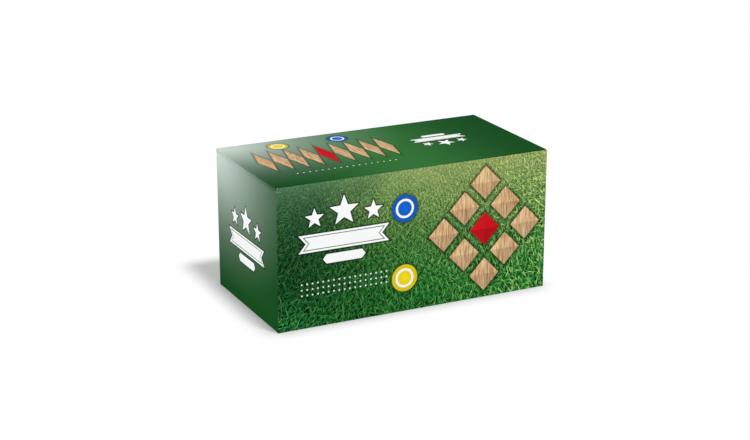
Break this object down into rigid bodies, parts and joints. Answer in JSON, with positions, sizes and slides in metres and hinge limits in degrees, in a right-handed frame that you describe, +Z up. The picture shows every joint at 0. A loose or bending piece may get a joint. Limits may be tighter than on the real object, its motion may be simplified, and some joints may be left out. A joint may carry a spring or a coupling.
{
  "type": "boxed wooden bowling set",
  "caption": "Closed tuck-top carton with a lawn-green print, packed with turned wooden bowling pins lying in layers and painted balls in the end bay.",
  "frame": {"origin": "centre of the carton's underside", "axes": "+Z up, +X along the carton, away from the pins' feet and towards the balls, front with the large picture area at -Y"},
  "size_m": [0.3134, 0.1608, 0.154],
  "materials": {
    "print_front": "offset print on coated board, grass greens",
    "print_green": "offset print on coated board, deep green",
    "board": "plain brown micro-flute board",
    "pin_wood": "clear lacquer on turned light wood",
    "king_red": "gloss red lacquer",
    "ball_yellow": "gloss yellow lacquer",
    "ball_blue": "gloss blue lacquer"
  },
  "bodies": {
    "carton": {"front_panel": "print_front", "back_panel": "print_front", "left_end_panel": "print_green", "right_end_panel": "print_green", "glue_flap": "board", "bottom_front_flap": "print_green", "bottom_back_flap": "print_green", "bottom_left_flap": "board", "bottom_right_flap": "board"},
    "lid": {"lid_panel": "print_green"},
    "tuck": {"tuck_flap": "print_green"},
    "dust_left": {"dust_flap_left": "print_green"},
    "dust_right": {"dust_flap_right": "print_green"},
    "king_pin_loose": {"king_pin": "king_red"},
    "pin_2_loose": {"pin_2": "pin_wood"},
    "pin_3_loose": {"pin_3": "pin_wood"},
    "pin_4_loose": {"pin_4": "pin_wood"},
    "pin_5_loose": {"pin_5": "pin_wood"},
    "pin_6_loose": {"pin_6": "pin_wood"},
    "pin_7_loose": {"pin_7": "pin_wood"},
    "pin_8_loose": {"pin_8": "pin_wood"},
    "pin_9_loose": {"pin_9": "pin_wood"},
    "yellow_ball_loose": {"yellow_ball": "ball_yellow"},
    "blue_ball_loose": {"blue_ball": "ball_blue"}
  },
  "joints": [
    {"name": "lid_fold", "type": "hinge", "parent": "carton", "child": "lid", "pos_m": [0, 0.0798, 0.15337], "axis": [-1, 0, 0], "range_deg": [0, 176]},
    {"name": "tuck_fold", "type": "hinge", "parent": "lid", "child": "tuck", "pos_m": [0, -0.0782, 0.15337], "axis": [-1, 0, 0], "range_deg": [0, 88]},
    {"name": "dust_left_fold", "type": "hinge", "parent": "carton", "child": "dust_left", "pos_m": [-0.15615, 0, 0.15187], "axis": [0, -1, 0], "range_deg": [0, 176]},
    {"name": "dust_right_fold", "type": "hinge", "parent": "carton", "child": "dust_right", "pos_m": [0.15615, 0, 0.15187], "axis": [0, 1, 0], "range_deg": [0, 176]},
    {"name": "king_pin_roll", "type": "hinge", "parent": "carton", "child": "king_pin_loose", "pos_m": [-0.04625, 0.0051, 0.12367], "axis": [1, 0, 0], "continuous": true},
    {"name": "pin_2_roll", "type": "hinge", "parent": "carton", "child": "pin_2_loose", "pos_m": [-0.04625, -0.0442, 0.0272], "axis": [1, 0, 0], "continuous": true},
    {"name": "pin_3_roll", "type": "hinge", "parent": "carton", "child": "pin_3_loose", "pos_m": [-0.04625, 0.0051, 0.0272], "axis": [1, 0, 0], "continuous": true},
    {"name": "pin_4_roll", "type": "hinge", "parent": "carton", "child": "pin_4_loose", "pos_m": [-0.04625, 0.0544, 0.0272], "axis": [1, 0, 0], "continuous": true},
    {"name": "pin_5_roll", "type": "hinge", "parent": "carton", "child": "pin_5_loose", "pos_m": [-0.04625, -0.0544, 0.07543], "axis": [1, 0, 0], "continuous": true},
    {"name": "pin_6_roll", "type": "hinge", "parent": "carton", "child": "pin_6_loose", "pos_m": [-0.04625, -0.0051, 0.07543], "axis": [1, 0, 0], "continuous": true},
    {"name": "pin_7_roll", "type": "hinge", "parent": "carton", "child": "pin_7_loose", "pos_m": [-0.04625, 0.0442, 0.07543], "axis": [1, 0, 0], "continuous": true},
    {"name": "pin_8_roll", "type": "hinge", "parent": "carton", "child": "pin_8_loose", "pos_m": [-0.04625, -0.0442, 0.12367], "axis": [1, 0, 0], "continuous": true},
    {"name": "pin_9_roll", "type": "hinge", "parent": "carton", "child": "pin_9_loose", "pos_m": [-0.04625, 0.0544, 0.12367], "axis": [1, 0, 0], "continuous": true},
    {"name": "yellow_ball_lift", "type": "slide", "parent": "carton", "child": "yellow_ball_loose", "axis": [0, 0, -1], "range_m": [-0.076, 0]},
    {"name": "blue_ball_lift", "type": "slide", "parent": "carton", "child": "blue_ball_loose", "axis": [0, 0, -1], "range_m": [-0.076, 0]}
  ],
  "couplings": [
    {"joint": "tuck_fold", "follows": "lid_fold", "ratio": 0.5},
    {"joint": "dust_left_fold", "follows": "lid_fold", "ratio": 1},
    {"joint": "dust_right_fold", "follows": "lid_fold", "ratio": 1}
  ]
}
